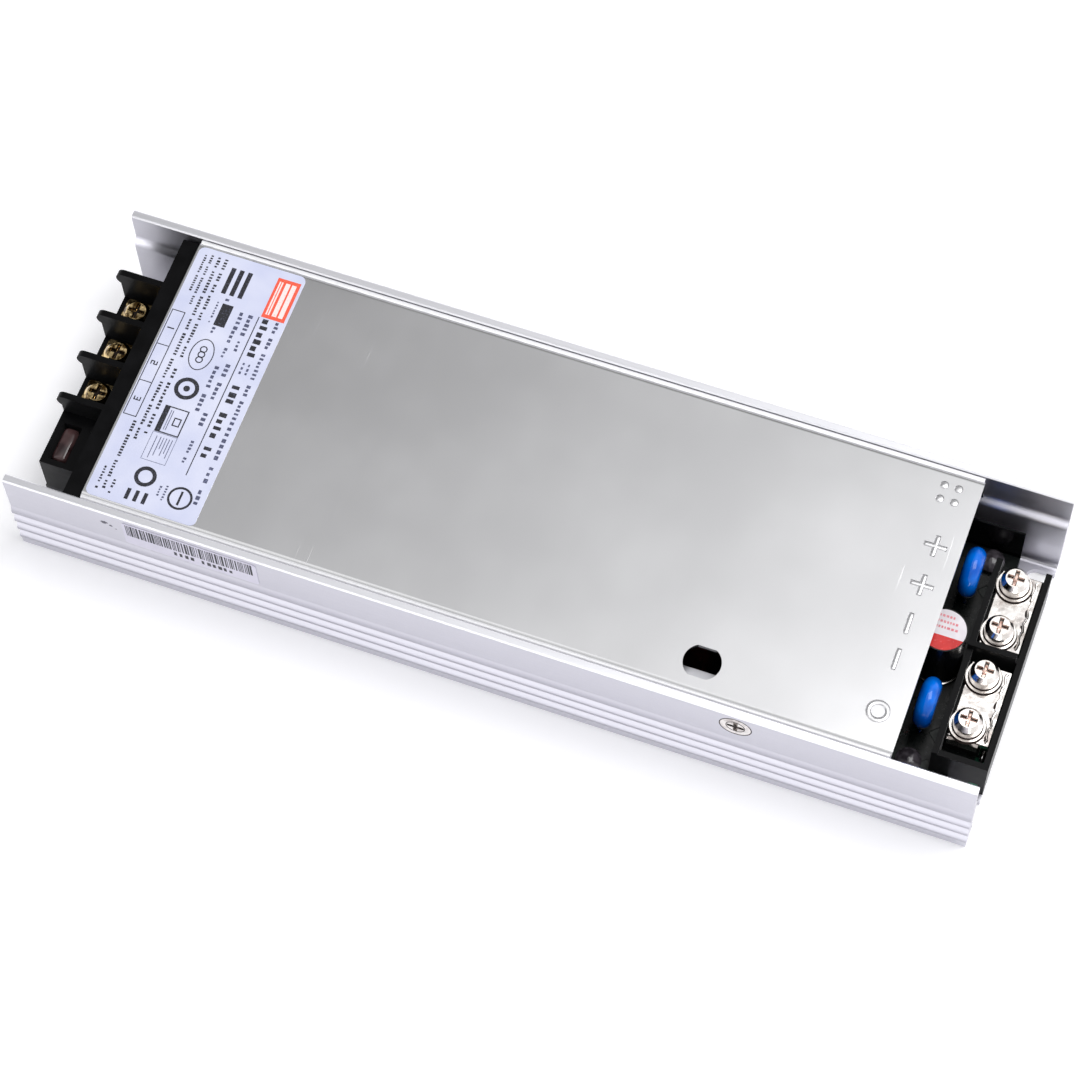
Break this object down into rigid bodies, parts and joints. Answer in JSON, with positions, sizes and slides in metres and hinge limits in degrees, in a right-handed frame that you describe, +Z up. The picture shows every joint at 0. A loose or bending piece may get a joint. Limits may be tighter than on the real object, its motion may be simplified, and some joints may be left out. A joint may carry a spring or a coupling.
{
  "type": "open frame power supply",
  "caption": "Slim open frame power supply: finned aluminium channel, folded steel cover, barrier input terminals at one end and screwed output bars at the other.",
  "frame": {"origin": "centre of the underside of the channel", "axes": "+X towards the output bars, +Y across the channel, +Z up"},
  "size_m": [0.178, 0.06, 0.024],
  "materials": {
    "anodised_aluminium": "satin clear anodised",
    "tinned_steel": "smooth tinplate, satin",
    "nickel_plate": "bright nickel plating",
    "brass": "yellow passivated",
    "printed_label": null,
    "white_sticker": null,
    "insulating_film": "black glossy film",
    "black_housing": "black moulded, semi gloss",
    "board_green": "solder mask",
    "natural_nylon": "natural nylon",
    "smoke_nylon": "dark translucent nylon",
    "blue_epoxy": "dipped epoxy, glossy",
    "black_sleeve": "shrink sleeve",
    "brown_case": "brown moulded case",
    "dark_epoxy": "dark green dipped coating",
    "yellow_case": "yellow box case",
    "ferrite": "sintered, matt",
    "enamelled_copper": "enamelled copper wire",
    "winding_tape": "yellow polyester tape",
    "black_phenolic": "moulded bobbin",
    "red_film": "dark red dipped film",
    "black_package": "moulded semiconductor package",
    "thermal_pad": "soft silicone pad",
    "clamp_aluminium": "mill finish"
  },
  "bodies": {
    "root": {"chassis": "anodised_aluminium", "cover": "tinned_steel", "cover_screws": "nickel_plate", "rating_label": "printed_label", "serial_sticker": "white_sticker", "top_insulator": "insulating_film", "base_insulator": "insulating_film", "circuit_board": "board_green", "board_spacers": "natural_nylon", "board_rivets": "smoke_nylon", "input_housing": "black_housing", "input_contact_1": "nickel_plate", "input_contact_2": "nickel_plate", "input_contact_3": "nickel_plate", "input_clamp_plates": "brass", "input_screws": "brass", "line_fuse": "brown_case", "output_housing": "black_housing", "output_bar_positive": "nickel_plate", "output_bar_negative": "nickel_plate", "output_nuts": "nickel_plate", "output_flat_washers": "nickel_plate", "output_spring_washers": "nickel_plate", "output_screws": "nickel_plate", "disc_capacitor_1": "blue_epoxy", "disc_capacitor_2": "blue_epoxy", "output_capacitor_1": "black_sleeve", "output_capacitor_2": "black_sleeve", "output_capacitor_3": "black_sleeve", "output_capacitor_4": "black_sleeve", "varistor": "blue_epoxy", "inrush_thermistor": "dark_epoxy", "line_filter_capacitor": "yellow_case", "line_choke_core": "ferrite", "line_choke_windings": "enamelled_copper", "boost_choke_core": "ferrite", "boost_choke_winding": "enamelled_copper", "bulk_capacitor_1": "black_sleeve", "bulk_capacitor_2": "black_sleeve", "transformer_core": "ferrite", "transformer_bobbin": "black_phenolic", "transformer_winding": "winding_tape", "resonant_capacitor": "red_film", "bridge_rectifier": "black_package", "boost_transistor": "black_package", "boost_diode": "black_package", "switch_transistor_1": "black_package", "switch_transistor_2": "black_package", "output_rectifier_1": "black_package", "output_rectifier_2": "black_package", "far_thermal_pad": "thermal_pad", "switch_thermal_pad": "thermal_pad", "rectifier_thermal_pad": "thermal_pad", "far_clamp_bar": "clamp_aluminium", "switch_clamp_bar": "clamp_aluminium", "rectifier_clamp_bar": "clamp_aluminium", "clamp_screws": "nickel_plate", "control_board": "board_green"}
  },
  "joints": []
}
